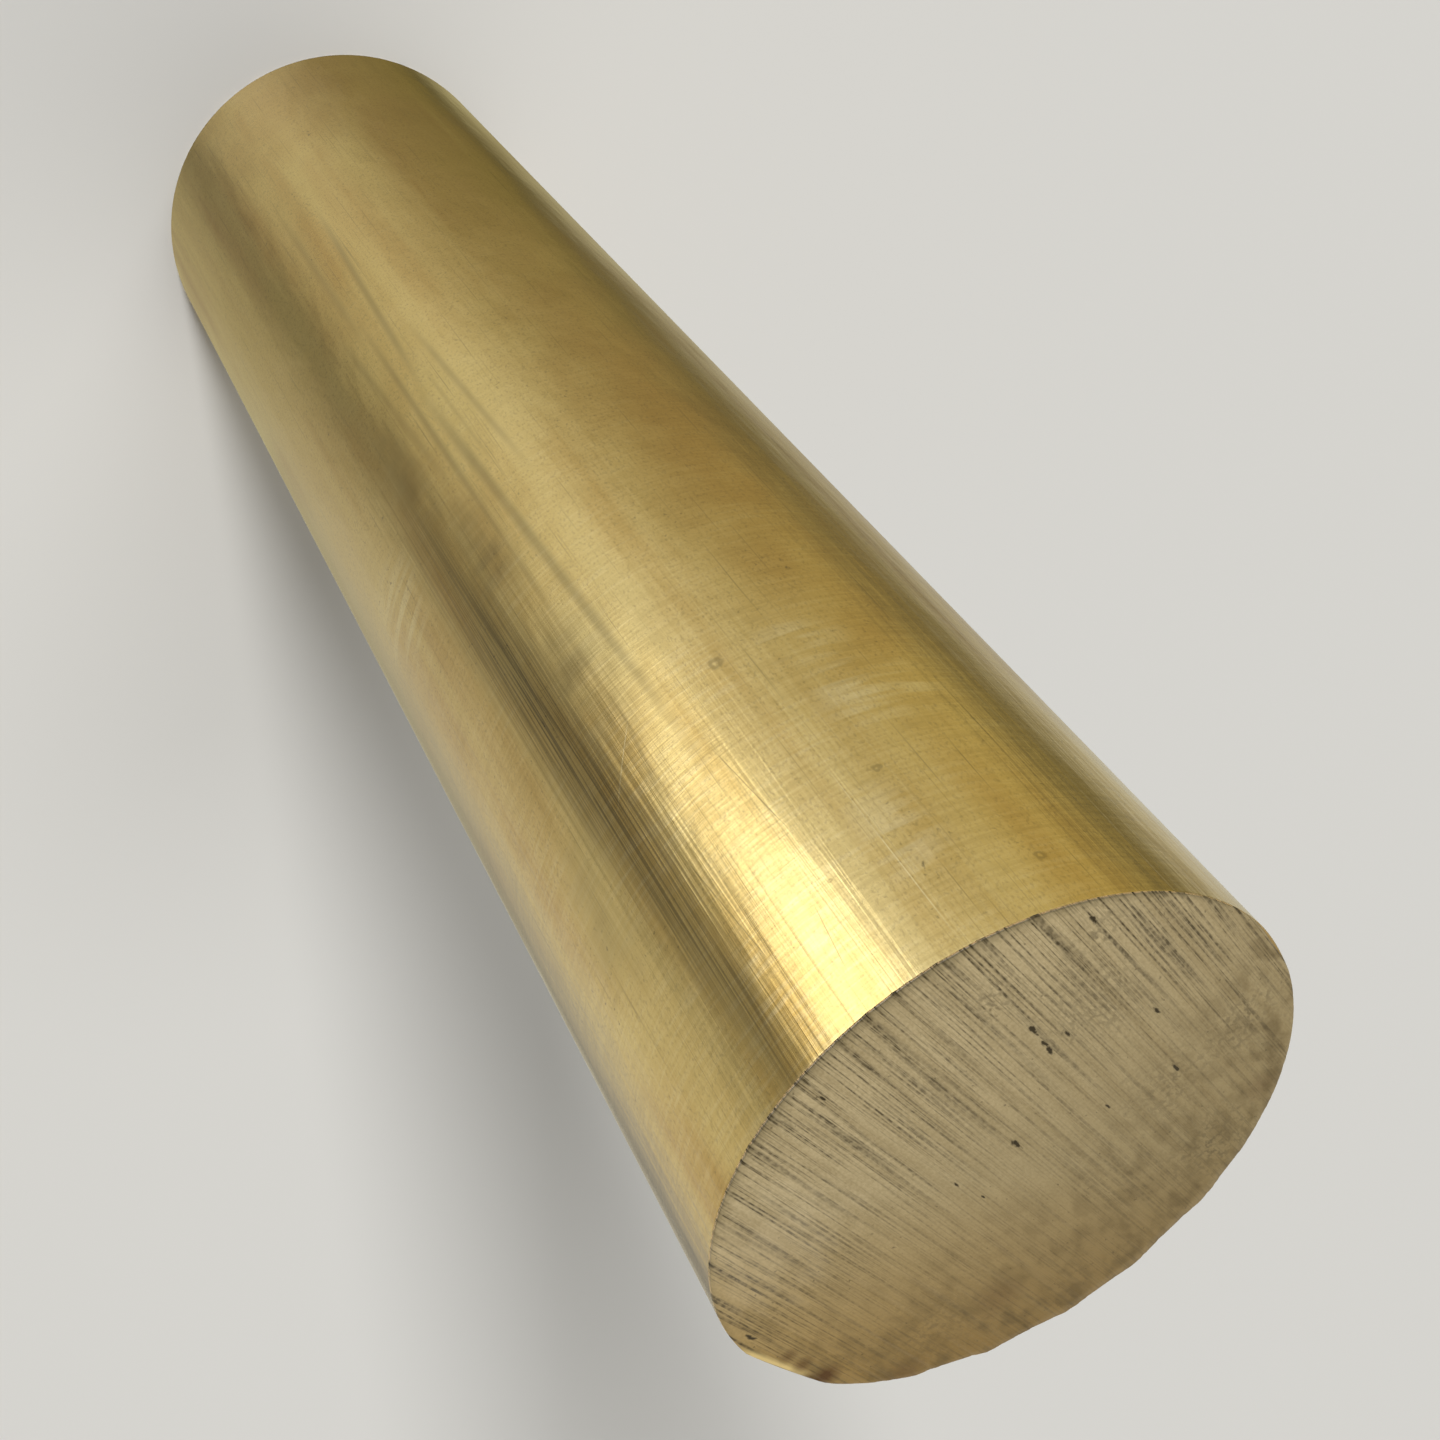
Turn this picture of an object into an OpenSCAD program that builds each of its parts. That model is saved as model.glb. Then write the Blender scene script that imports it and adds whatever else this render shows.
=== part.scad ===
// A length of drawn round brass bar, sawn off square at both ends.
// It stands on its plain end at Z = 0, with the rougher saw cut at the top.

/* [Bar] */
// Outside diameter of the bar
bar_d = 40; // [12:0.5:80]
// Length between the two sawn faces
bar_l = 152.4; // [60:0.1:600]

/* [Sawn ends] */
// Edge break all round both sawn rims
edge_break = 0.15; // [0.05:0.05:1]

/* [Flat where the saw came out] */
// How far the flat reaches in from the top rim
exit_flat_depth = 0.5; // [0.2:0.05:1.5]
// Place of the flat, in degrees round the bar from +X towards +Y
exit_flat_angle = 13; // [0:1:360]
// Slope of the flat, in degrees from the sawn face
exit_flat_slope = 50; // [25:1:75]

/* [Flat where the saw went in] */
// How far the flat reaches in from the top rim
entry_flat_depth = 0.3; // [0.2:0.05:1.5]
// Place of the flat, in degrees round the bar from +X towards +Y
entry_flat_angle = 186; // [0:1:360]
// Slope of the flat, in degrees from the sawn face
entry_flat_slope = 40; // [25:1:75]

/* [Dents in the top rim] */
// How many dents lie side by side
dent_count = 5; // [1:1:8]
// Depth of a full dent at the sawn face
dent_depth = 0.4; // [0.1:0.05:0.8]
// How far down the wall a full dent reaches
dent_height = 2.2; // [1:0.1:6]
// Radius of the hollow across a dent
dent_r = 20; // [5:1:40]
// Place of the first dent, in degrees round the bar from +X towards +Y
dent_first_angle = 55; // [0:1:360]
// Angle from one dent to the next
dent_pitch_angle = 17; // [10:1:40]

/* [Hidden] */
$fn = 128;
bar_r = bar_d / 2;
face_r = bar_r - edge_break;
// Depth of each dent as a share of a full one
dent_shares = [0.95, 1, 0.65, 1, 0.35];
dent_lean = atan(dent_depth / dent_height);

// The bar turned about its axis, from half of its outline: two sawn faces, two edge breaks and the drawn wall
module turned_bar() {
    rotate_extrude()
        polygon([
            [0, 0],
            [face_r, 0],
            [bar_r, edge_break],
            [bar_r, bar_l - edge_break],
            [face_r, bar_l],
            [0, bar_l]
        ]);
}

// What a flat takes off the top rim
module rim_flat(depth, angle, slope) {
    rotate([0, 0, angle])
        translate([bar_r - depth, 0, bar_l])
            rotate([0, slope, 0])
                translate([-bar_r, -bar_r, 0])
                    cube(bar_d);
}

// What one dent takes off the top rim: a round hollow that leans outwards down the wall
module rim_dent(depth, angle) {
    rotate([0, 0, angle])
        translate([bar_r - depth + dent_r, 0, bar_l])
            rotate([0, -dent_lean, 0])
                cylinder(r = dent_r, h = 4 * dent_height, center = true);
}

module rim_dents() {
    for (i = [0 : dent_count - 1])
        rim_dent(dent_depth * dent_shares[i % len(dent_shares)], dent_first_angle + i * dent_pitch_angle);
}

module brass_bar() {
    color("#b99a55")
        difference() {
            turned_bar();
            rim_flat(exit_flat_depth, exit_flat_angle, exit_flat_slope);
            rim_flat(entry_flat_depth, entry_flat_angle, entry_flat_slope);
            rim_dents();
        }
}

brass_bar();
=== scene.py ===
import math
import bpy
import numpy as np
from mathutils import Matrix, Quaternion, Vector


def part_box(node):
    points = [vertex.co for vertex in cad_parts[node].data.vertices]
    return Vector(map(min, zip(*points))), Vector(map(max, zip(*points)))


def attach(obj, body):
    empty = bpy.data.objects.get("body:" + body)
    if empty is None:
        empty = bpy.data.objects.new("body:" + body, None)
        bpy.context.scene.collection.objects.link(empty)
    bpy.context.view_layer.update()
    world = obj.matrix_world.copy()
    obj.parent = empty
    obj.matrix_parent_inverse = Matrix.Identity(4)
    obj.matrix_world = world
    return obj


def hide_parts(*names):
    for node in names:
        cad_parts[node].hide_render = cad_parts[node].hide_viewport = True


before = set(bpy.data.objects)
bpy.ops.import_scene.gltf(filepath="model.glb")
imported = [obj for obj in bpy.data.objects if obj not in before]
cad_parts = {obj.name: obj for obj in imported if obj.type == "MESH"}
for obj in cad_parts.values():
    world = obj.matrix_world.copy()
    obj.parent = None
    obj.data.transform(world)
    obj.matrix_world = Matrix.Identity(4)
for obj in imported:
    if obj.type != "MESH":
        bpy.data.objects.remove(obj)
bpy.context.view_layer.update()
scene = bpy.context.scene
mm = 0.001


def colour(hexText):
    # sRGB hex to linear RGBA
    levels = [int(hexText[i:i + 2], 16) / 255 for i in (1, 3, 5)]
    return tuple(c / 12.92 if c <= 0.04045 else ((c + 0.055) / 1.055) ** 2.4 for c in levels) + (1.0,)


def addNode(tree, kind, inputs=(), stops=(), **settings):
    # one node with its settings, its inputs as links or plain values, and a ramp's stops; gives its outputs
    node = tree.nodes.new(kind)
    for key, value in settings.items():
        setattr(node, key, value)
    for key, value in dict(inputs).items():
        if isinstance(value, bpy.types.NodeSocket):
            tree.links.new(value, node.inputs[key])
        else:
            node.inputs[key].default_value = value
    for count, (place, shade) in enumerate(stops):
        band = node.color_ramp.elements
        stop = band[count] if count < 2 else band.new(place)
        stop.position, stop.color = place, shade
    return node.outputs


barLow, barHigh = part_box("brass_bar")
barRadius = (barHigh.x - barLow.x) / 2
barLength = barHigh.z - barLow.z
print("frame loaded: bar", round(barRadius * 2 / mm, 2), "x", round(barLength / mm, 2), "mm")


# Saw cut: the blade was fed from the entry flat to the exit flat, and its grooves lie across that
saw = {
    "feedAngle": 8.2,       # degrees round the bar from +X
    "pitch": 0.62,          # mm between the main grooves
    "grooveLength": 26.0,   # mm before a groove fades into the next
    "depth": 0.05,          # mm
    "fade": 0.5,            # mm along the wall until a groove is gone
    "seed": 4.0,
}
bar = {
    "acrossRows": 480,      # rows across the grooves, and half of the columns round the wall
    "alongRows": 40,
    "wallRows": 20,         # from each end to the middle
    "crowding": 2.2,        # how strongly the rows crowd towards the ends
    "edgeBreak": 0.15,      # mm
    "edgeMiddle": 0.29,     # of the edge break, where the ring of points on its middle lies
    "sharpAngle": 38,       # degrees between faces, above which an edge is sharp
    "flats": ((13, 0.5, 50), (186, 0.3, 40)),  # place in degrees, depth in mm, slope in degrees
    "flatFade": 3.0,        # mm down the wall
    "dentShares": (0.95, 1, 0.65, 1, 0.35),    # of a full dent
    "dentDepth": 0.4,       # mm
    "dentHeight": 2.2,      # mm down the wall
    "dentReach": 2.0,       # mm in over the sawn face
    "dentRadius": 20,       # mm across the hollow
    "dentFirst": 55,        # degrees round the bar from +X
    "dentPitch": 17,        # degrees
}


def dentPull(turn, under):
    # how far the dents draw the wall in, in metres, by angle in degrees and depth under the sawn face
    pull = np.zeros_like(under)
    hollow = 1 / (bar["dentRadius"] * mm) + 1 / barRadius
    lean = bar["dentDepth"] / bar["dentHeight"]
    for count, share in enumerate(bar["dentShares"]):
        middle = bar["dentFirst"] + count * bar["dentPitch"]
        arc = barRadius * np.radians((turn - middle + 180) % 360 - 180)
        pull = np.maximum(pull, bar["dentDepth"] * mm * share - under * lean - arc ** 2 / 2 * hollow)
    return pull


def flatDrop(x, y):
    # how far the rim flats lie under the sawn face at (x, y), in metres
    drop = np.zeros_like(x)
    for place, depth, slope in bar["flats"]:
        a = math.radians(place)
        past = x * math.cos(a) + y * math.sin(a) - (barRadius - depth * mm)
        drop = np.maximum(drop, past * math.tan(math.radians(slope)))
    return drop


def blankMesh():
    rows, along = bar["acrossRows"], bar["alongRows"]
    edge = bar["edgeBreak"] * mm
    feed = math.radians(saw["feedAngle"])
    columns = 2 * rows
    ring = -np.pi / 2 + np.arange(columns) * np.pi / rows
    # wall profile from the bottom face up: radius taken off, and height
    shares = (np.arange(bar["wallRows"] + 1) / bar["wallRows"]) ** bar["crowding"]
    steps = edge + (barLength / 2 - edge) * shares
    middle = bar["edgeMiddle"] * edge
    half = [(edge, 0.0), (middle, middle)] + [(0.0, s) for s in steps]
    profile = half + [(off, barLength - s) for off, s in reversed(half[:-1])]
    points, faces = [], []
    for off, z in profile:
        r = barRadius - off
        points.append(np.stack([r * np.sin(ring), r * np.cos(ring), np.full(columns, z)], 1))
    for k in range(len(profile) - 1):
        low = np.arange(columns) + k * columns
        nextLow = np.roll(low, -1)
        faces += np.stack([low, low + columns, nextLow + columns, nextLow], 1).tolist()
    # the edge breaks take the sawn finish with the discs
    bands = len(profile) - 1
    onEnd = [k < 2 or k >= bands - 2 for k in range(bands) for column in range(columns)]
    # both sawn discs, as rows along the grooves that start and end on the rim
    t = np.linspace(-np.pi / 2, np.pi / 2, rows + 1)[1:-1]
    s = np.linspace(-1, 1, along + 1)[1:-1]
    r = barRadius - edge
    count = len(profile) * columns
    for ringStart, z, turn in ((0, 0.0, 1), ((len(profile) - 1) * columns, barLength, -1)):
        u, w = np.meshgrid(r * np.sin(t), s, indexing="ij")
        w = w * r * np.cos(t)[:, None]
        points.append(np.stack([u.ravel(), w.ravel(), np.full(u.size, z)], 1))
        index = np.zeros((rows + 1, along + 1), int)
        index[0, :], index[rows, :] = ringStart, ringStart + rows
        index[1:-1, 1:-1] = count + np.arange(u.size).reshape(u.shape)
        index[1:-1, -1] = ringStart + np.arange(1, rows)
        index[1:-1, 0] = ringStart + columns - np.arange(1, rows)
        count += u.size
        quads = np.stack([index[:-1, :-1], index[:-1, 1:], index[1:, 1:], index[1:, :-1]], -1)
        quads = quads.reshape(-1, 4)[:, ::turn]
        faces += [list(dict.fromkeys(q)) for q in quads.tolist()]
        onEnd += [True] * len(quads)
    p = np.concatenate(points)
    x = p[:, 0] * math.cos(feed) - p[:, 1] * math.sin(feed)
    y = p[:, 0] * math.sin(feed) + p[:, 1] * math.cos(feed)
    z = p[:, 2]
    # the rim's own damage: dents draw it in, flats draw it down
    under = barLength - z
    nearRim = np.clip((np.hypot(x, y) - barRadius) / (bar["dentReach"] * mm) + 1, 0, 1) ** 2
    keep = 1 - dentPull(np.degrees(np.arctan2(y, x)), under) * nearRim / barRadius
    x, y = x * keep, y * keep
    z = z - flatDrop(x, y) * np.clip(1 - under / (bar["flatFade"] * mm), 0, 1)
    mesh = bpy.data.meshes.new("barBlank")
    mesh.from_pydata(np.stack([x, y, z], 1).tolist(), [], faces)
    mesh.attributes.new("sawn", "BOOLEAN", "FACE").data.foreach_set("value", onEnd)
    return mesh


# Drawn brass: satin gold, fine lines along the bar from the die, finer strokes across it, patchy tarnish,
# with painted reflections and glints in places
drawn = {
    "clean": "#cdb163", "tarnish": "#ae8738", "pale": "#dcc684", "soilAndReflection": "#463c20",
    "roughness": (0.15, 0.26),
    "drawLine": 0.5,        # mm between the lines along the bar
    "hairLine": 0.12,       # mm between the hair lines along it
    "crossLine": 0.36,      # mm between the strokes across it
    "relief": 0.035,        # mm, of the lines
    "waviness": 0.2,        # mm, over some millimetres
    "spots": ((261.7, 123.0, 0.65), (250.3, 137.6, 0.4), (237.1, 148.2, 0.5), (268.2, 143.5, 0.2)),
    # bearing in degrees, height and radius in mm
    "scuff": {
        "arc": 7.0,             # mm from the front, at the sawn face
        "lean": 0.042,          # shift along the arc over the way down the bar
        "halfWidth": 0.95,      # mm, at the sawn face
        "spread": 0.052,        # gain in half width over the way down
        "full": (26.0, 43.0),   # mm under the sawn face, where it is darkest
        "length": 78.0,         # mm
        "strength": (0.42, 0.7),    # at the sawn face, and where it is darkest
    },
    "faint": (70.0, 132.0, 0.3),    # heights in mm between which the strokes gain strength, and the least
    "smears": {
        # pale smears: partly paler rubbed metal, partly painted glints where the strokes catch the light
        "pale": ((-9.4, 131.0, 4.2, 4.2, 0.85), (-8.7, 124.0, 3.2, 3.4, 0.7), (-13.0, 131.0, 3.0, 3.4, 0.7),
                 (16.1, 91.0, 5.0, 7.0, 0.6), (-5.5, 143.0, 3.0, 6.0, 0.4)),
        # dark smears: a painted reflection of a dark object, broken into streaks
        "dark": ((4.8, 116.0, 3.8, 14.0, 0.42), (5.8, 99.0, 3.4, 13.0, 0.44), (8.0, 84.0, 2.6, 15.0, 0.3),
                 (13.0, 131.0, 3.0, 9.0, 0.3)),
        # worn smears: tarnish, deepened partly as a painted warm reflection
        "tarnishAndReflection": ((-12.5, 97.0, 8.5, 46.0, 0.7), (-2.0, 6.0, 18.0, 26.0, 0.6)),
    },
    # arc from the front and height of the middle, half arc and half height in mm, strength
    "scratches": ((0.0, 134.0, 11.0, -0.1, 0.05, -0.5), (1.2, 146.8, 6.0, 0.12, 0.05, -0.5),
                  (5.2, 140.0, 15.0, -0.09, 0.06, -0.4), (-4.4, 143.0, 19.0, 0.006, 0.045, 0.6),
                  (-16.7, 131.0, 17.0, -0.08, 0.16, 0.35), (5.8, 125.0, 6.0, 0.77, 0.09, 0.45),
                  (4.1, 124.0, 14.0, 0.11, 0.35, -0.35), (2.1, 102.0, 60.0, -0.028, 0.65, -0.36),
                  (3.95, 86.0, 60.0, 0.0, 0.45, -0.3), (5.7, 73.0, 36.0, -0.04, 0.5, -0.18),
                  (1.85, 55.0, 42.0, 0.035, 0.5, -0.3), (-0.2, 79.0, 30.0, -0.04, 0.45, -0.26),
                  (1.4, 81.0, 20.0, -0.015, 0.3, -0.15), (4.6, 47.0, 32.0, 0.0, 0.6, -0.2)),
    # arc from the front, height of the middle, length, lean and half width in mm, strength: dark below zero,
    # pale above zero as a painted glint
}


def drawnBrass():
    material = bpy.data.materials.new("drawnBrass")
    material.use_nodes = True
    tree = material.node_tree
    shader = tree.nodes["Principled BSDF"]
    spot = addNode(tree, "ShaderNodeTexCoord")["Object"]
    at = addNode(tree, "ShaderNodeSeparateXYZ", {0: spot})
    perLine, perHair, perCross = [1 / (drawn[name] * mm) for name in ("drawLine", "hairLine", "crossLine")]
    patterns = {
        "draw": ((perLine, perLine, 30), 4, 0.5),        # scale per metre, detail, distortion
        "hair": ((perHair, perHair, 70), 2, 0.3),
        "cross": ((260, 260, perCross), 4, 0.4),
        "bars": ((130, 130, 420), 4, 0.2),
        "chatter": ((120, 120, 1050), 1, 0.1),
        "broad": ((300, 300, 6), 3, 0),
        "wave": ((190, 190, 60), 3, 0),
        "patch": ((80, 80, 34), 5, 0),
        "cloud": ((190, 190, 130), 5, 0),
        "fleck": ((3300, 3300, 2600), 2, 0),
        "grit": ((5200, 5200, 3000), 3, 0),
    }
    noise = {}
    for name, (scale, detail, bend) in patterns.items():
        place = addNode(tree, "ShaderNodeMapping", {0: spot, "Scale": scale})[0]
        noise[name] = addNode(tree, "ShaderNodeTexNoise",
                              {"Vector": place, "Scale": 1, "Detail": detail, "Distortion": bend})[0]
    # tarnish lies in clouds, drawn out into streaks
    cloudy = addNode(tree, "ShaderNodeMapRange", {0: noise["patch"], 1: 0.38, 2: 0.64})[0]
    streaky = addNode(tree, "ShaderNodeMapRange", {0: noise["broad"], 1: 0.32, 2: 0.66})[0]
    tarnishAndReflection = addNode(tree, "ShaderNodeMath", {0: cloudy, 1: streaky}, operation="MULTIPLY")[0]
    # marks on the unrolled wall: arc from the front, and height
    ahead = addNode(tree, "ShaderNodeMath", {0: at[1], 1: -1.0}, operation="MULTIPLY")[0]
    swing = addNode(tree, "ShaderNodeMath", {0: at[0], 1: ahead}, operation="ARCTAN2")[0]
    arc = addNode(tree, "ShaderNodeMath", {0: swing, 1: barRadius}, operation="MULTIPLY")[0]
    unrolled = addNode(tree, "ShaderNodeCombineXYZ", {0: arc, 1: at[2]})[0]
    marks = {"pale": 0.0, "dark": 0.0, "tarnishAndReflection": tarnishAndReflection}
    for kind, patches in drawn["smears"].items():
        for middle, height, wide, tall, strength in patches:
            scale = (1 / (wide * mm), 1 / (tall * mm), 0)
            inside = addNode(tree, "ShaderNodeMapping", {0: unrolled, "Scale": scale})[0]
            away = addNode(tree, "ShaderNodeVectorMath", {0: inside, 1: (middle / wide, height / tall, 0)},
                           operation="DISTANCE")["Value"]
            ragged = addNode(tree, "ShaderNodeMath", {0: noise["cloud"], 1: 1.2, 2: away},
                             operation="MULTIPLY_ADD")[0]
            mark = addNode(tree, "ShaderNodeMapRange", {0: ragged, 1: 1.6, 2: 0.7, 4: strength})[0]
            marks[kind] = addNode(tree, "ShaderNodeMath", {0: marks[kind], 1: mark}, operation="MAXIMUM")[0]
    # tarnish in clouds, and in the worn smears partly a painted warm reflection
    tone = addNode(tree, "ShaderNodeMix",
                   {0: marks["tarnishAndReflection"], 6: colour(drawn["clean"]), 7: colour(drawn["tarnish"])},
                   data_type="RGBA")[2]
    # strokes across the bar: fine and faint all over, fainter down the bar, broad in the smears, where the
    # dark ones paint a reflection of a dark object
    low, high, least = drawn["faint"]
    crisp = addNode(tree, "ShaderNodeMapRange", {0: at[2], 1: low * mm, 2: high * mm, 3: least})[0]
    paleStroke = addNode(tree, "ShaderNodeMapRange", {0: noise["cross"], 1: 0.46, 2: 0.68, 4: crisp})[0]
    darkStroke = addNode(tree, "ShaderNodeMapRange", {0: noise["cross"], 1: 0.54, 2: 0.34, 4: crisp})[0]
    paleCloud = addNode(tree, "ShaderNodeMapRange",
                        {0: noise["cloud"], 1: 0.4, 2: 0.66, 3: 0.08, 4: 0.26})[0]
    darkCloud = addNode(tree, "ShaderNodeMapRange",
                        {0: noise["cloud"], 1: 0.6, 2: 0.36, 3: 0.04, 4: 0.17})[0]
    paleBar = addNode(tree, "ShaderNodeMapRange", {0: noise["chatter"], 1: 0.46, 2: 0.56})[0]
    darkBar = addNode(tree, "ShaderNodeMapRange", {0: noise["bars"], 1: 0.64, 2: 0.36, 3: 0.5})[0]
    paleFine = addNode(tree, "ShaderNodeMath", {0: paleCloud, 1: paleStroke}, operation="MULTIPLY")[0]
    darkFine = addNode(tree, "ShaderNodeMath", {0: darkCloud, 1: darkStroke}, operation="MULTIPLY")[0]
    paleSmear = addNode(tree, "ShaderNodeMath", {0: marks["pale"], 1: paleBar}, operation="MULTIPLY")[0]
    darkReflectionSmear = addNode(tree, "ShaderNodeMath", {0: marks["dark"], 1: darkBar}, operation="MULTIPLY")[0]
    pale = addNode(tree, "ShaderNodeMath", {0: paleFine, 1: paleSmear}, operation="MAXIMUM")[0]
    darkStrokesAndReflection = addNode(tree, "ShaderNodeMath", {0: darkFine, 1: darkReflectionSmear}, operation="MAXIMUM")[0]
    # soil: hair lines along the bar, thick in the scuff, flecks in clouds, and single spots; with them the
    # dark smears, a painted reflection of a dark object
    under = addNode(tree, "ShaderNodeMath", {0: barLength, 1: at[2]}, operation="SUBTRACT")[0]
    scuff = drawn["scuff"]
    middle = addNode(tree, "ShaderNodeMath", {0: under, 1: scuff["lean"], 2: scuff["arc"] * mm},
                     operation="MULTIPLY_ADD")[0]
    fullFrom, fullTo = scuff["full"]
    spreading = addNode(tree, "ShaderNodeMath", {0: under, 1: fullFrom * mm}, operation="MINIMUM")[0]
    reach = addNode(tree, "ShaderNodeMath", {0: spreading, 1: scuff["spread"], 2: scuff["halfWidth"] * mm},
                    operation="MULTIPLY_ADD")[0]
    off = addNode(tree, "ShaderNodeMath", {0: arc, 1: middle}, operation="SUBTRACT")[0]
    aside = addNode(tree, "ShaderNodeMath", {0: off}, operation="ABSOLUTE")[0]
    share = addNode(tree, "ShaderNodeMath", {0: aside, 1: reach}, operation="DIVIDE")[0]
    inScuff = addNode(tree, "ShaderNodeMapRange", {0: share, 1: 1.5, 2: 0.3})[0]
    weak, dark = scuff["strength"]
    rise = addNode(tree, "ShaderNodeMapRange", {0: under, 1: 0.0, 2: fullFrom * mm, 3: weak, 4: dark})[0]
    fade = addNode(tree, "ShaderNodeMapRange", {0: under, 1: scuff["length"] * mm, 2: fullTo * mm})[0]
    strength = addNode(tree, "ShaderNodeMath", {0: rise, 1: fade}, operation="MULTIPLY")[0]
    scuffed = addNode(tree, "ShaderNodeMath", {0: inScuff, 1: strength}, operation="MULTIPLY")[0]
    thick = addNode(tree, "ShaderNodeMapRange", {0: noise["hair"], 1: 0.44, 2: 0.6, 3: 0.4})[0]
    thickHair = addNode(tree, "ShaderNodeMath", {0: thick, 1: scuffed}, operation="MULTIPLY")[0]
    hair = addNode(tree, "ShaderNodeMapRange", {0: noise["hair"], 1: 0.63, 2: 0.76, 4: 0.4})[0]
    soilAndReflection = addNode(tree, "ShaderNodeMath", {0: hair, 1: thickHair}, operation="MAXIMUM")[0]
    soilAndReflection = addNode(tree, "ShaderNodeMath", {0: soilAndReflection, 1: darkStrokesAndReflection}, operation="MAXIMUM")[0]
    grit = addNode(tree, "ShaderNodeMapRange", {0: noise["grit"], 1: 0.5, 2: 0.76, 4: 0.3})[0]
    soilAndReflection = addNode(tree, "ShaderNodeMath", {0: soilAndReflection, 1: grit}, operation="MAXIMUM")[0]
    flecks = addNode(tree, "ShaderNodeMapRange", {0: noise["fleck"], 1: 0.64, 2: 0.76})[0]
    fleckCloud = addNode(tree, "ShaderNodeMapRange", {0: noise["cloud"], 1: 0.56, 2: 0.34, 4: 0.5})[0]
    soilAndReflection = addNode(tree, "ShaderNodeMath", {0: flecks, 1: fleckCloud, 2: soilAndReflection}, operation="MULTIPLY_ADD")[0]
    for bearing, height, size in drawn["spots"]:
        a = math.radians(bearing)
        middle = (barRadius * math.cos(a), barRadius * math.sin(a), height * mm)
        away = addNode(tree, "ShaderNodeVectorMath", {0: spot, 1: middle}, operation="DISTANCE")["Value"]
        ragged = addNode(tree, "ShaderNodeMath", {0: noise["fleck"], 1: size * mm, 2: away},
                         operation="MULTIPLY_ADD")[0]
        off = addNode(tree, "ShaderNodeMath", {0: ragged, 1: size * mm}, operation="SUBTRACT")[0]
        ring = addNode(tree, "ShaderNodeMath", {0: off}, operation="ABSOLUTE")[0]
        mark = addNode(tree, "ShaderNodeMapRange",
                       {0: ring, 1: 0.5 * size * mm, 2: 0.15 * size * mm, 4: 0.36})[0]
        soilAndReflection = addNode(tree, "ShaderNodeMath", {0: soilAndReflection, 1: mark}, operation="MAXIMUM")[0]
    # single scratches, each a straight line on the unrolled wall: dark ones are soil, pale ones are painted
    # glints where a scratch catches the light
    for middle, height, length, lean, width, depth in drawn["scratches"]:
        rise = addNode(tree, "ShaderNodeMath", {0: at[2], 1: height * mm}, operation="SUBTRACT")[0]
        line = addNode(tree, "ShaderNodeMath", {0: rise, 1: lean, 2: middle * mm},
                       operation="MULTIPLY_ADD")[0]
        off = addNode(tree, "ShaderNodeMath", {0: arc, 1: line}, operation="SUBTRACT")[0]
        wide = addNode(tree, "ShaderNodeMath", {0: off}, operation="ABSOLUTE")[0]
        long = addNode(tree, "ShaderNodeMath", {0: rise}, operation="ABSOLUTE")[0]
        thin = addNode(tree, "ShaderNodeMapRange", {0: wide, 1: width * mm, 2: 0.2 * width * mm})[0]
        ends = addNode(tree, "ShaderNodeMapRange",
                       {0: long, 1: 0.5 * length * mm, 2: 0.25 * length * mm, 4: abs(depth)})[0]
        mark = addNode(tree, "ShaderNodeMath", {0: thin, 1: ends}, operation="MULTIPLY")[0]
        if depth < 0:
            soilAndReflection = addNode(tree, "ShaderNodeMath", {0: soilAndReflection, 1: mark}, operation="MAXIMUM")[0]
        else:
            pale = addNode(tree, "ShaderNodeMath", {0: pale, 1: mark}, operation="MAXIMUM")[0]
    # pale strokes, smears and scratches: paler metal, with painted glints on the smears and scratches
    paleTone = addNode(tree, "ShaderNodeMix", {0: pale, 6: tone, 7: colour(drawn["pale"])},
                       data_type="RGBA")[2]
    soiledAndReflected = addNode(tree, "ShaderNodeMix", {0: soilAndReflection, 6: paleTone, 7: colour(drawn["soilAndReflection"])},
                     data_type="RGBA")[2]
    low, high = drawn["roughness"]
    rough = addNode(tree, "ShaderNodeMapRange", {0: noise["patch"], 1: 0.35, 2: 0.7, 3: low, 4: high})[0]
    rougher = addNode(tree, "ShaderNodeMath", {0: pale, 1: 0.06, 2: rough}, operation="MULTIPLY_ADD")[0]
    uneven = addNode(tree, "ShaderNodeBump",
                     {"Height": noise["wave"], "Distance": drawn["waviness"] * mm})[0]
    relief = addNode(tree, "ShaderNodeMath", {0: noise["cross"], 1: 0.3, 2: noise["draw"]},
                     operation="MULTIPLY_ADD")[0]
    bump = addNode(tree, "ShaderNodeBump",
                   {"Strength": crisp, "Height": relief, "Normal": uneven,
                    "Distance": drawn["relief"] * mm})[0]
    tree.links.new(soiledAndReflected, shader.inputs["Base Color"])
    tree.links.new(rougher, shader.inputs["Roughness"])
    tree.links.new(bump, shader.inputs["Normal"])
    shader.inputs["Metallic"].default_value = 1.0
    return material
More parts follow.
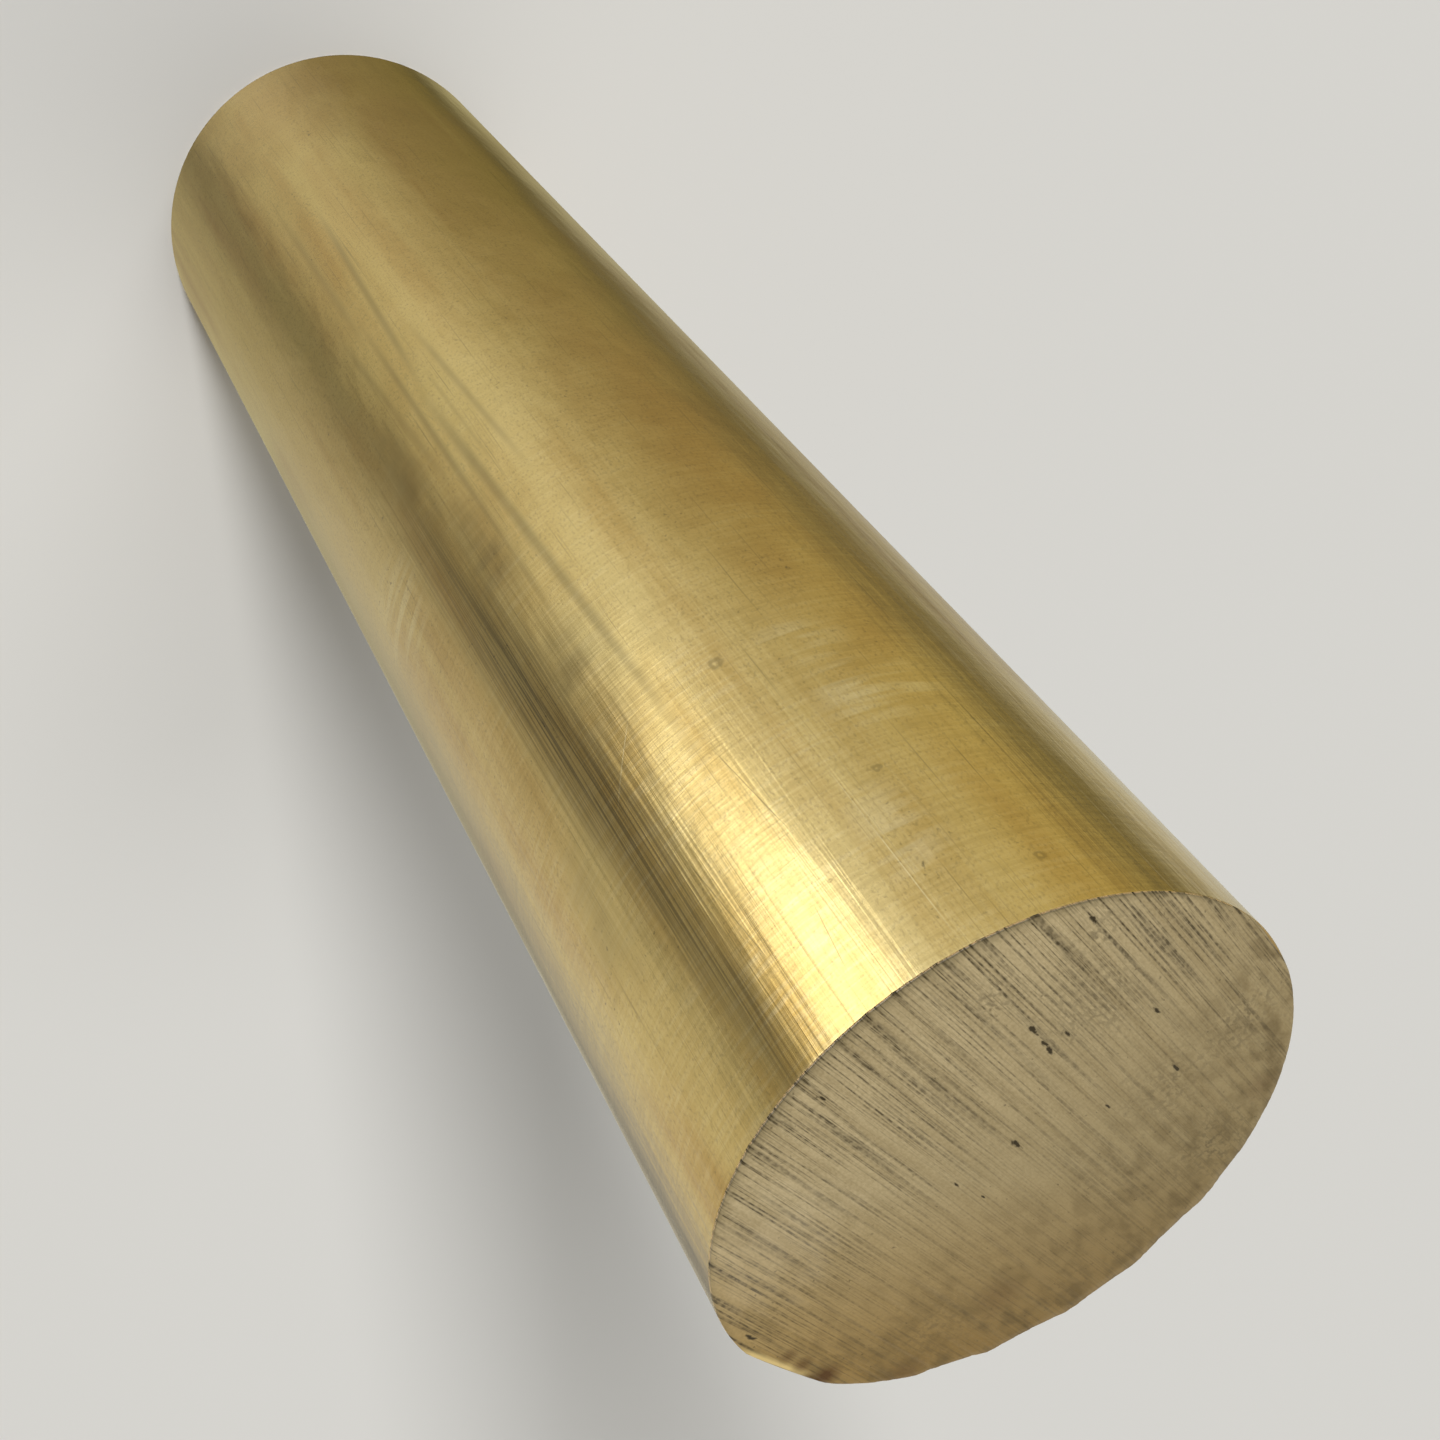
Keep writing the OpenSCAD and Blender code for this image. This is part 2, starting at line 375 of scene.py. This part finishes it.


# Sawn brass: matt taupe metal, scored by the blade, with dirt that thins out along the scores, and partly
# painted shade where it darkens along them and towards the far rim
sawCut = {
    "metal": "#d0bf97", "dirtyAndShaded": "#9b895e", "warm": "#f0dcaa", "band": "#937f53", "dirt": "#42371f",
    "stainAndShade": "#6f5c33", "rust": "#5c3a04", "rubbed": "#f4e6c8", "burr": "#e8d090", "edge": "#f4dca0",
    "roughness": (0.5, 0.54),
    "scoreLine": 0.3,       # mm between the scores
    "bandLine": 0.75,       # mm between the broader bands
    "grain": 0.16,          # mm
    "relief": 0.02,         # mm
    "edgeDepth": (0.05, 0.1),       # mm under the face, where the pale edge starts and is full
    "edgeRoughness": 0.5,           # more than the cut has
    "dirtAndShadeReach": (-14.0, 17.0),       # mm along the scores
    "warming": (2.0, 22.0),         # mm aslant over the scores
    "warmSlant": 0.75,              # part of the way along them in that
    "stainAndShadeReach": (17.0, 0.5),      # mm from the far rim, where the stain and painted shade start and are full
    "dirtReach": 30.0,              # mm along a score
    "pits": ((-6.3, -8.9, 0.26), (-6.2, -7.2, 0.2), (-6.1, -6.4, 0.3), (-7.5, -6.4, 0.24),
             (-0.6, -1.0, 0.28), (-13.0, -13.2, 0.26), (-10.6, 4.1, 0.22), (-12.1, -2.2, 0.2),
             (-6.0, 2.4, 0.16), (3.6, -1.8, 0.14), (3.2, 1.2, 0.13), (4.2, -17.1, 0.16), (18.7, -3.6, 0.26)),
    # places across and along the scores, and radius, in mm; the next two also have a strength
    "patches": {
        "rubbed": ((13.5, -9.5, 6.5, 0.14),),
        "rust": ((18.7, 5.0, 1.5, 0.95), (18.6, 2.4, 0.9, 0.6), (18.6, 0.6, 0.8, 0.5),
                 (16.0, 11.0, 2.0, 0.42), (-13.7, 12.5, 1.6, 0.25), (7.8, 11.4, 2.4, 0.3)),
    },
    "flecked": ((-6.2, -13.1, 2.6, 0.6), (-13.0, -12.0, 3.0, 0.5), (-9.5, -7.0, 5.0, 0.45),
                (-9.5, 5.0, 5.0, 0.4), (-15.0, 5.0, 4.5, 0.45), (-9.0, 14.0, 5.0, 0.5),
                (12.0, 9.0, 6.0, 0.3)),
    "burrLine": (19.0, 19.35),      # mm out towards the exit flat, where its burr starts and is full
    "burrHalf": 3.2,                # mm along the flat
    "burrDepth": 2.0,               # mm under the sawn face
}


def sawnBrass():
    material = bpy.data.materials.new("sawnBrass")
    material.use_nodes = True
    tree = material.node_tree
    shader = tree.nodes["Principled BSDF"]
    spot = addNode(tree, "ShaderNodeTexCoord")["Object"]
    turned = addNode(tree, "ShaderNodeMapping",
                     {0: spot, "Rotation": (0, 0, -math.radians(saw["feedAngle"]))})[0]
    at = addNode(tree, "ShaderNodeSeparateXYZ", {0: turned})
    perScore, perBand, perGrain = [1 / (sawCut[name] * mm) for name in ("scoreLine", "bandLine", "grain")]
    patterns = {
        "score": ((perScore, 50, 40), 3),        # scale per metre across and along the scores, detail
        "fine": ((2 * perScore, 70, 40), 3),
        "dash": ((3300, 1700, 40), 3),
        "band": ((perBand, 30, 40), 3),
        "reach": ((900, 10, 40), 2),
        "cloud": ((760, 360, 40), 5),
        "fleck": ((2700, 1700, 40), 2),
        "grain": ((perGrain, 0.5 * perGrain, 40), 3),
    }
    noise = {}
    for name, (scale, detail) in patterns.items():
        place = addNode(tree, "ShaderNodeMapping", {0: turned, "Scale": scale})[0]
        noise[name] = addNode(tree, "ShaderNodeTexNoise",
                              {"Vector": place, "Scale": 1, "Detail": detail})[0]
    # the grooves that are cut into the mesh, from the same noise
    grooved = (1 / (saw["pitch"] * mm), 1 / (saw["grooveLength"] * mm), 0)
    place = addNode(tree, "ShaderNodeMapping",
                    {0: turned, "Scale": grooved, "Location": (0, 0, saw["seed"])})[0]
    groove = addNode(tree, "ShaderNodeTexNoise", {"Vector": place, "Scale": 1, "Detail": 2})[0]
    # distance to the rim along a groove, at its start and at its end, and depth under the face
    across2 = addNode(tree, "ShaderNodeMath", {0: at[0], 1: at[0]}, operation="MULTIPLY")[0]
    chord2 = addNode(tree, "ShaderNodeMath", {0: barRadius ** 2, 1: across2}, operation="SUBTRACT")[0]
    chord = addNode(tree, "ShaderNodeMath", {0: chord2}, operation="SQRT")[0]
    fromStart = addNode(tree, "ShaderNodeMath", {0: chord, 1: at[1]}, operation="ADD")[0]
    toEnd = addNode(tree, "ShaderNodeMath", {0: chord, 1: at[1]}, operation="SUBTRACT")[0]
    under = addNode(tree, "ShaderNodeMath", {0: barLength, 1: at[2]}, operation="SUBTRACT")[0]
    depth = addNode(tree, "ShaderNodeMath", {0: under, 1: at[2]}, operation="MINIMUM")[0]
    # metal: pale where the scores start, darker along them, partly dirt and partly painted shade, warmer to
    # one side, in soft bands with a grain
    low, high = sawCut["dirtAndShadeReach"]
    dirtAndShadeShare = addNode(tree, "ShaderNodeMapRange", {0: at[1], 1: low * mm, 2: high * mm})[0]
    tone = addNode(tree, "ShaderNodeMix", {0: dirtAndShadeShare, 6: colour(sawCut["metal"]), 7: colour(sawCut["dirtyAndShaded"])},
                   data_type="RGBA")[2]
    aslant = addNode(tree, "ShaderNodeMath", {0: at[1], 1: sawCut["warmSlant"], 2: at[0]},
                     operation="MULTIPLY_ADD")[0]
    low, high = sawCut["warming"]
    warmth = addNode(tree, "ShaderNodeMapRange", {0: aslant, 1: low * mm, 2: high * mm})[0]
    tone = addNode(tree, "ShaderNodeMix", {0: warmth, 6: tone, 7: colour(sawCut["warm"])},
                   data_type="RGBA", blend_type="MULTIPLY")[2]
    bands = addNode(tree, "ShaderNodeMapRange", {0: noise["band"], 1: 0.45, 2: 0.72, 4: 0.3})[0]
    grains = addNode(tree, "ShaderNodeMapRange", {0: noise["grain"], 1: 0.35, 2: 0.75, 4: 0.35})[0]
    uneven = addNode(tree, "ShaderNodeMath", {0: bands, 1: grains}, operation="ADD")[0]
    banded = addNode(tree, "ShaderNodeMix", {0: uneven, 6: tone, 7: colour(sawCut["band"])},
                     data_type="RGBA")[2]
    # stain and painted shade: darker along the far rim, in clouds
    low, high = sawCut["stainAndShadeReach"]
    farRim = addNode(tree, "ShaderNodeMapRange", {0: toEnd, 1: low * mm, 2: high * mm})[0]
    clouds = addNode(tree, "ShaderNodeMapRange", {0: noise["cloud"], 1: 0.46, 2: 0.64, 4: 0.6})[0]
    stainAndShade = addNode(tree, "ShaderNodeMath", {0: farRim, 1: clouds}, operation="MULTIPLY")[0]
    stainedAndShaded = addNode(tree, "ShaderNodeMix", {0: stainAndShade, 6: banded, 7: colour(sawCut["stainAndShade"])},
                      data_type="RGBA")[2]
    # dirt: in the grooves and scores, broken into dashes, thinner away from the rim where they start
    far = addNode(tree, "ShaderNodeMath", {0: noise["reach"], 1: sawCut["dirtReach"] * mm},
                  operation="MULTIPLY")[0]
    gone = addNode(tree, "ShaderNodeMath", {0: fromStart, 1: far}, operation="DIVIDE")[0]
    strong = addNode(tree, "ShaderNodeMapRange", {0: gone, 1: 0.0, 2: 1.3, 3: 1.3, 4: 0.42})[0]
    dashes = addNode(tree, "ShaderNodeMapRange", {0: noise["dash"], 1: 0.38, 2: 0.6, 3: 0.42})[0]
    grooveDirt = addNode(tree, "ShaderNodeMapRange", {0: groove, 1: 0.63, 2: 0.7, 4: 0.5})[0]
    scoreDirt = addNode(tree, "ShaderNodeMapRange", {0: noise["score"], 1: 0.55, 2: 0.65, 4: 0.8})[0]
    fineDirt = addNode(tree, "ShaderNodeMapRange", {0: noise["fine"], 1: 0.5, 2: 0.64, 4: 0.68})[0]
    lines = addNode(tree, "ShaderNodeMath", {0: grooveDirt, 1: scoreDirt}, operation="MAXIMUM")[0]
    lines = addNode(tree, "ShaderNodeMath", {0: lines, 1: fineDirt}, operation="MAXIMUM")[0]
    faded = addNode(tree, "ShaderNodeMath", {0: lines, 1: strong}, operation="MULTIPLY")[0]
    dirt = addNode(tree, "ShaderNodeMath", {0: faded, 1: dashes}, operation="MULTIPLY")[0]
    # and in flecks
    specks = addNode(tree, "ShaderNodeMapRange", {0: noise["fleck"], 1: 0.68, 2: 0.76, 4: 0.5})[0]
    dirt = addNode(tree, "ShaderNodeMath", {0: dirt, 1: specks}, operation="MAXIMUM")[0]
    flecks = addNode(tree, "ShaderNodeMapRange", {0: noise["fleck"], 1: 0.46, 2: 0.62})[0]
    for across, along, size, strength in sawCut["flecked"]:
        middle = (across * mm, along * mm, barLength)
        away = addNode(tree, "ShaderNodeVectorMath", {0: turned, 1: middle}, operation="DISTANCE")["Value"]
        ragged = addNode(tree, "ShaderNodeMath", {0: noise["cloud"], 1: 2 * size * mm, 2: away},
                         operation="MULTIPLY_ADD")[0]
        cloud = addNode(tree, "ShaderNodeMapRange",
                        {0: ragged, 1: 1.9 * size * mm, 2: 0.9 * size * mm, 4: strength})[0]
        mark = addNode(tree, "ShaderNodeMath", {0: cloud, 1: flecks}, operation="MULTIPLY")[0]
        dirt = addNode(tree, "ShaderNodeMath", {0: dirt, 1: mark}, operation="MAXIMUM")[0]
    # pits: torn open along the grooves
    stretched = (1, 0.25, 1)
    torn = addNode(tree, "ShaderNodeMapping", {0: turned, "Scale": stretched})[0]
    for across, along, size in sawCut["pits"]:
        middle = (across * mm, along * stretched[1] * mm, barLength)
        away = addNode(tree, "ShaderNodeVectorMath", {0: torn, 1: middle}, operation="DISTANCE")["Value"]
        ragged = addNode(tree, "ShaderNodeMath", {0: noise["dash"], 1: 1.6 * size * mm, 2: away},
                         operation="MULTIPLY_ADD")[0]
        pit = addNode(tree, "ShaderNodeMapRange", {0: ragged, 1: 1.5 * size * mm, 2: 1.1 * size * mm})[0]
        dirt = addNode(tree, "ShaderNodeMath", {0: dirt, 1: pit}, operation="MAXIMUM")[0]
    # the edge break: partly rubbed pale, partly painted light that brightens it where it mirrors dark
    # surroundings, and duller than the cut
    low, high = sawCut["edgeDepth"]
    edge = addNode(tree, "ShaderNodeMapRange", {0: depth, 1: low * mm, 2: high * mm})[0]
    rubbed = addNode(tree, "ShaderNodeMix", {0: edge, 6: stainedAndShaded, 7: colour(sawCut["edge"])},
                     data_type="RGBA")[2]
    dirty = addNode(tree, "ShaderNodeMix", {0: dirt, 6: rubbed, 7: colour(sawCut["dirt"])},
                    data_type="RGBA")[2]
    # bright burr beside the exit flat, then a rubbed place and rust
    lean = math.radians(bar["flats"][0][0] - saw["feedAngle"])
    aside = addNode(tree, "ShaderNodeMath", {0: at[1], 1: math.sin(lean)}, operation="MULTIPLY")[0]
    out = addNode(tree, "ShaderNodeMath", {0: at[0], 1: math.cos(lean), 2: aside},
                  operation="MULTIPLY_ADD")[0]
    low, high = sawCut["burrLine"]
    burr = addNode(tree, "ShaderNodeMapRange", {0: out, 1: low * mm, 2: high * mm})[0]
    along = addNode(tree, "ShaderNodeMath", {0: at[1]}, operation="ABSOLUTE")[0]
    reach = sawCut["burrHalf"] * mm
    within = addNode(tree, "ShaderNodeMapRange", {0: along, 1: 1.3 * reach, 2: 0.7 * reach})[0]
    onTop = addNode(tree, "ShaderNodeMath", {0: under, 1: sawCut["burrDepth"] * mm},
                    operation="LESS_THAN")[0]
    burr = addNode(tree, "ShaderNodeMath", {0: burr, 1: within}, operation="MULTIPLY")[0]
    burr = addNode(tree, "ShaderNodeMath", {0: burr, 1: onTop}, operation="MULTIPLY")[0]
    tinted = addNode(tree, "ShaderNodeMix", {0: burr, 6: dirty, 7: colour(sawCut["burr"])},
                     data_type="RGBA")[2]
    for kind, patches in sawCut["patches"].items():
        for across, along, size, strength in patches:
            middle = (across * mm, along * mm, barLength)
            away = addNode(tree, "ShaderNodeVectorMath", {0: turned, 1: middle},
                           operation="DISTANCE")["Value"]
            ragged = addNode(tree, "ShaderNodeMath", {0: noise["cloud"], 1: 1.6 * size * mm, 2: away},
                             operation="MULTIPLY_ADD")[0]
            patch = addNode(tree, "ShaderNodeMapRange",
                            {0: ragged, 1: 1.8 * size * mm, 2: size * mm, 4: strength})[0]
            tinted = addNode(tree, "ShaderNodeMix", {0: patch, 6: tinted, 7: colour(sawCut[kind])},
                             data_type="RGBA")[2]
    low, high = sawCut["roughness"]
    rough = addNode(tree, "ShaderNodeMapRange", {0: noise["cloud"], 1: 0.35, 2: 0.65, 3: low, 4: high})[0]
    rough = addNode(tree, "ShaderNodeMath", {0: edge, 1: sawCut["edgeRoughness"], 2: rough},
                    operation="MULTIPLY_ADD")[0]
    relief = addNode(tree, "ShaderNodeMath", {0: noise["grain"], 1: 0.5, 2: noise["score"]},
                     operation="MULTIPLY_ADD")[0]
    bump = addNode(tree, "ShaderNodeBump", {"Height": relief, "Distance": sawCut["relief"] * mm})[0]
    tree.links.new(tinted, shader.inputs["Base Color"])
    tree.links.new(rough, shader.inputs["Roughness"])
    tree.links.new(bump, shader.inputs["Normal"])
    shader.inputs["Metallic"].default_value = 1.0
    return material


wallFinish, endFinish = drawnBrass(), sawnBrass()


def sawMarks():
    tree = bpy.data.node_groups.new("sawMarks", "GeometryNodeTree")
    tree.interface.new_socket("Geometry", in_out="INPUT", socket_type="NodeSocketGeometry")
    for name in ("Length", "Feed Angle", "Pitch", "Groove Length", "Depth", "Seed"):
        tree.interface.new_socket(name, in_out="INPUT", socket_type="NodeSocketFloat")
    tree.interface.new_socket("Geometry", in_out="OUTPUT", socket_type="NodeSocketGeometry")
    given = addNode(tree, "NodeGroupInput")
    place = addNode(tree, "GeometryNodeInputPosition")[0]
    back = addNode(tree, "ShaderNodeMath", {0: given["Feed Angle"], 1: -1.0}, operation="MULTIPLY")[0]
    turned = addNode(tree, "ShaderNodeVectorRotate", {"Vector": place, "Angle": back},
                     rotation_type="Z_AXIS")[0]
    at = addNode(tree, "ShaderNodeSeparateXYZ", {0: turned})
    across = addNode(tree, "ShaderNodeMath", {0: at[0], 1: given["Pitch"]}, operation="DIVIDE")[0]
    along = addNode(tree, "ShaderNodeMath", {0: at[1], 1: given["Groove Length"]}, operation="DIVIDE")[0]
    spot = addNode(tree, "ShaderNodeCombineXYZ", {0: across, 1: along, 2: given["Seed"]})[0]
    noise = addNode(tree, "ShaderNodeTexNoise", {"Vector": spot, "Scale": 1.0, "Detail": 2.0})[0]
    groove = addNode(tree, "ShaderNodeMapRange", {0: noise, 1: 0.5, 2: 0.72})[0]
    # full on the faces, gone a little way along the wall
    top = addNode(tree, "ShaderNodeMath", {0: given["Length"], 1: saw["fade"] * mm}, operation="SUBTRACT")[0]
    onTop = addNode(tree, "ShaderNodeMapRange", {0: at[2], 1: top, 2: given["Length"]})[0]
    onBase = addNode(tree, "ShaderNodeMapRange", {0: at[2], 1: saw["fade"] * mm, 2: 0.0})[0]
    way = addNode(tree, "ShaderNodeMath", {0: onBase, 1: onTop}, operation="SUBTRACT")[0]
    cut = addNode(tree, "ShaderNodeMath", {0: groove, 1: given["Depth"]}, operation="MULTIPLY")[0]
    move = addNode(tree, "ShaderNodeMath", {0: cut, 1: way}, operation="MULTIPLY")[0]
    offset = addNode(tree, "ShaderNodeCombineXYZ", {2: move})[0]
    shaped = addNode(tree, "GeometryNodeSetPosition", {"Geometry": given["Geometry"], "Offset": offset})[0]
    real = addNode(tree, "GeometryNodeRealizeInstances", {0: shaped})[0]
    wall = addNode(tree, "GeometryNodeSetMaterial", {"Geometry": real, "Material": wallFinish})[0]
    ends = addNode(tree, "GeometryNodeInputNamedAttribute", {"Name": "sawn"}, data_type="BOOLEAN")[0]
    both = {"Geometry": wall, "Selection": ends, "Material": endFinish}
    addNode(tree, "NodeGroupOutput", {0: addNode(tree, "GeometryNodeSetMaterial", both)[0]})
    return tree


def brassBar():
    blank = bpy.data.objects.new("barBlank", blankMesh())
    scene.collection.objects.link(blank)
    marks = blank.modifiers.new("sawMarks", "NODES")
    marks.node_group = sawMarks()
    sizes = {
        "Length": barLength,
        "Feed Angle": math.radians(saw["feedAngle"]),
        "Pitch": saw["pitch"] * mm,
        "Groove Length": saw["grooveLength"] * mm,
        "Depth": saw["depth"] * mm,
        "Seed": saw["seed"],
    }
    for item in marks.node_group.interface.items_tree:
        if item.in_out == "INPUT" and item.name in sizes:
            marks[item.identifier] = sizes[item.name]
    mesh = bpy.data.meshes.new_from_object(blank.evaluated_get(bpy.context.evaluated_depsgraph_get()))
    bpy.data.objects.remove(blank)
    piece = bpy.data.objects.new("roundBrassBar", mesh)
    scene.collection.objects.link(piece)
    mesh.polygons.foreach_set("use_smooth", [True] * len(mesh.polygons))
    mesh.set_sharp_from_angle(angle=math.radians(bar["sharpAngle"]))
    return piece


piece = brassBar()
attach(piece, "root")
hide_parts("brass_bar")
print("bar made:", len(piece.data.polygons), "faces")


# Floor: plain pale board. The bar mirrors the light under it, not the board itself
floorLook = {"size": 40.0, "paint": "#dcdbd8", "roughness": 0.9}
floorMesh = bpy.data.meshes.new("floor")
h = floorLook["size"] / 2
floorMesh.from_pydata([(-h, -h, 0), (h, -h, 0), (h, h, 0), (-h, h, 0)], [], [(0, 1, 2, 3)])
floor = bpy.data.objects.new("floor", floorMesh)
scene.collection.objects.link(floor)
floorPaint = bpy.data.materials.new("paleBoard")
floorPaint.use_nodes = True
floorShader = floorPaint.node_tree.nodes["Principled BSDF"]
floorShader.inputs["Base Color"].default_value = colour(floorLook["paint"])
floorShader.inputs["Roughness"].default_value = floorLook["roughness"]
floorMesh.materials.append(floorPaint)
floor.visible_glossy = False
floor.visible_shadow = False

# Camera: the photograph's angle on the bar
camera = {"place": (0.0, -100.19, 211.99), "aim": (-1.24, 0.0, 106.73), "roll": 143.64, "lens": 46.95}
cameraData = bpy.data.cameras.new("camera")
cameraData.lens = camera["lens"]
cameraData.sensor_width = 36
cameraData.clip_start = 0.01
cameraObject = bpy.data.objects.new("camera", cameraData)
scene.collection.objects.link(cameraObject)
cameraObject.location = Vector(camera["place"]) * mm
look = (Vector(camera["aim"]) - Vector(camera["place"])).to_track_quat("-Z", "Y")
cameraObject.rotation_mode = "QUATERNION"
cameraObject.rotation_quaternion = look @ Quaternion((0, 0, 1), math.radians(camera["roll"]))
scene.camera = cameraObject

# World: soft light from above, and under the floor a ring of screens and one bright panel for the metal
# to mirror. The ring runs clockwise, seen from above; the bar's top mirrors its near light and the rest
# its far light
studio = {
    "start": 66,            # degrees from +X
    "front": (0.12, 0.12, 0.11), "back": (1.1, 1.07, 1.0),   # light above, by the camera and beyond the bar
    # pale screens with dark gaps between them: place as a share of the ring, and level
    "near": {"warmth": (1.0, 1.0, 1.0), "fall": 0.7,
             "levels": ((0.0, 0.2), (0.12, 0.95), (0.22, 0.9), (0.29, 0.42), (0.35, 0.8), (0.455, 1.45),
                        (0.54, 0.9), (0.67, 0.7), (0.75, 0.2), (0.82, 0.65))},
    "far": {"warmth": (1.1, 1.0, 0.6), "fall": 2.0,
            "levels": ((0.02, 0.5), (0.2, 0.4), (0.27, 0.25), (0.33, 0.55), (0.455, 0.75), (0.6, 0.32),
                       (0.74, 0.2), (0.78, 0.1), (0.83, 0.4))},
    # fall is the drop over reach of the rays where that light is full
    "tints": ((0.0, (1.0, 1.0, 0.9)), (0.44, (0.88, 1.0, 1.65)), (0.72, (1.1, 1.0, 0.55)),
              (0.83, (1.0, 1.0, 0.9))),
    # daylight in the middle, warm light past it, and nearly neutral screens to both sides
    "beyond": (0.25, 0.75), "horizon": (-0.2, 0.05),     # where the light changes over, by the ray's y and z
    "panel": {"place": 0.394, "halfWidth": 0.06, "edge": 0.04, "top": 0.78, "foot": 1.16, "level": 3.0},
    "strength": 8.0,        # the light that full white stands for in the ramps
}
world = bpy.data.worlds.new("studio")
scene.world = world
world.use_nodes = True
tree = world.node_tree
ray = addNode(tree, "ShaderNodeSeparateXYZ", {0: addNode(tree, "ShaderNodeTexCoord")["Generated"]})
bearing = addNode(tree, "ShaderNodeMath", {0: ray[1], 1: ray[0]}, operation="ARCTAN2")[0]
turns = addNode(tree, "ShaderNodeMath", {0: bearing, 1: -0.5 / math.pi, 2: studio["start"] / 360},
                operation="MULTIPLY_ADD")[0]
onRing = addNode(tree, "ShaderNodeMath", {0: turns}, operation="FRACT")[0]
flat = addNode(tree, "ShaderNodeCombineXYZ", {0: ray[0], 1: ray[1]})[0]
reach = addNode(tree, "ShaderNodeVectorMath", {0: flat}, operation="LENGTH")["Value"]
rise = addNode(tree, "ShaderNodeMath", {0: ray[2], 1: reach}, operation="DIVIDE")[0]


def dimmed(light):
    return tuple(c / studio["strength"] for c in light) + (1,)


def screenLight(place, level, warmth=(1.0, 1.0, 1.0)):
    # a level on the ring with the tint that the ring has there
    places = [stop for stop, tint in studio["tints"]]
    tint = [np.interp(place, places, band) for band in zip(*[tint for stop, tint in studio["tints"]])]
    return dimmed([level * c * w for c, w in zip(tint, warmth)])


rings = {}
for name in ("near", "far"):
    side = studio[name]
    lights = [(place, screenLight(place, level, side["warmth"])) for place, level in side["levels"]]
    rings[name] = addNode(tree, "ShaderNodeValToRGB", {0: onRing}, stops=lights)[0]
depth = addNode(tree, "ShaderNodeMapRange",
                {0: rise, 1: -studio["near"]["fall"], 2: -studio["far"]["fall"]})[0]
ring = addNode(tree, "ShaderNodeMix", {0: depth, 6: rings["near"], 7: rings["far"]}, data_type="RGBA")[2]
pane = studio["panel"]
off = addNode(tree, "ShaderNodeMath", {0: onRing, 1: pane["place"]}, operation="SUBTRACT")[0]
aside = addNode(tree, "ShaderNodeMath", {0: off}, operation="ABSOLUTE")[0]
inside = pane["halfWidth"] - pane["edge"]
wide = addNode(tree, "ShaderNodeMapRange", {0: aside, 1: pane["halfWidth"], 2: inside})[0]
tall = addNode(tree, "ShaderNodeMapRange", {0: rise, 1: -pane["foot"], 2: -pane["top"]})[0]
lit = addNode(tree, "ShaderNodeMath", {0: wide, 1: tall}, operation="MULTIPLY")[0]
below = addNode(tree, "ShaderNodeMix", {0: lit, 6: ring, 7: screenLight(pane["place"], pane["level"])},
                data_type="RGBA", blend_type="ADD")[2]
low, high = studio["beyond"]
beyond = addNode(tree, "ShaderNodeMapRange", {0: ray[1], 1: low, 2: high})[0]
above = addNode(tree, "ShaderNodeMix", {0: beyond, 6: dimmed(studio["front"]), 7: dimmed(studio["back"])},
                data_type="RGBA")[2]
low, high = studio["horizon"]
up = addNode(tree, "ShaderNodeMapRange", {0: ray[2], 1: low, 2: high})[0]
light = addNode(tree, "ShaderNodeMix", {0: up, 6: below, 7: above}, data_type="RGBA")[2]
tree.links.new(light, tree.nodes["Background"].inputs["Color"])
tree.nodes["Background"].inputs["Strength"].default_value = studio["strength"]

# Lamps: both on the camera's side, so that the soft shadow falls beyond the bar
lamps = {
    # bearing, height and spread in degrees, strength in watts per square metre
    "key": (249, 19, 15, 4.8),
    "fill": (222, 62, 18, 0.45),
}
for name, (bearing, height, spread, strength) in lamps.items():
    lampData = bpy.data.lights.new(name, "SUN")
    lampData.angle = math.radians(spread)
    lampData.energy = strength
    lamp = bpy.data.objects.new(name, lampData)
    lamp.visible_glossy = False     # the metal mirrors the screens alone
    scene.collection.objects.link(lamp)
    a, e = math.radians(bearing), math.radians(height)
    toLamp = Vector((math.cos(a) * math.cos(e), math.sin(a) * math.cos(e), math.sin(e)))
    lamp.rotation_mode = "QUATERNION"
    lamp.rotation_quaternion = toLamp.to_track_quat("Z", "Y")
print("light and camera set")

scene.view_settings.view_transform = "Standard"
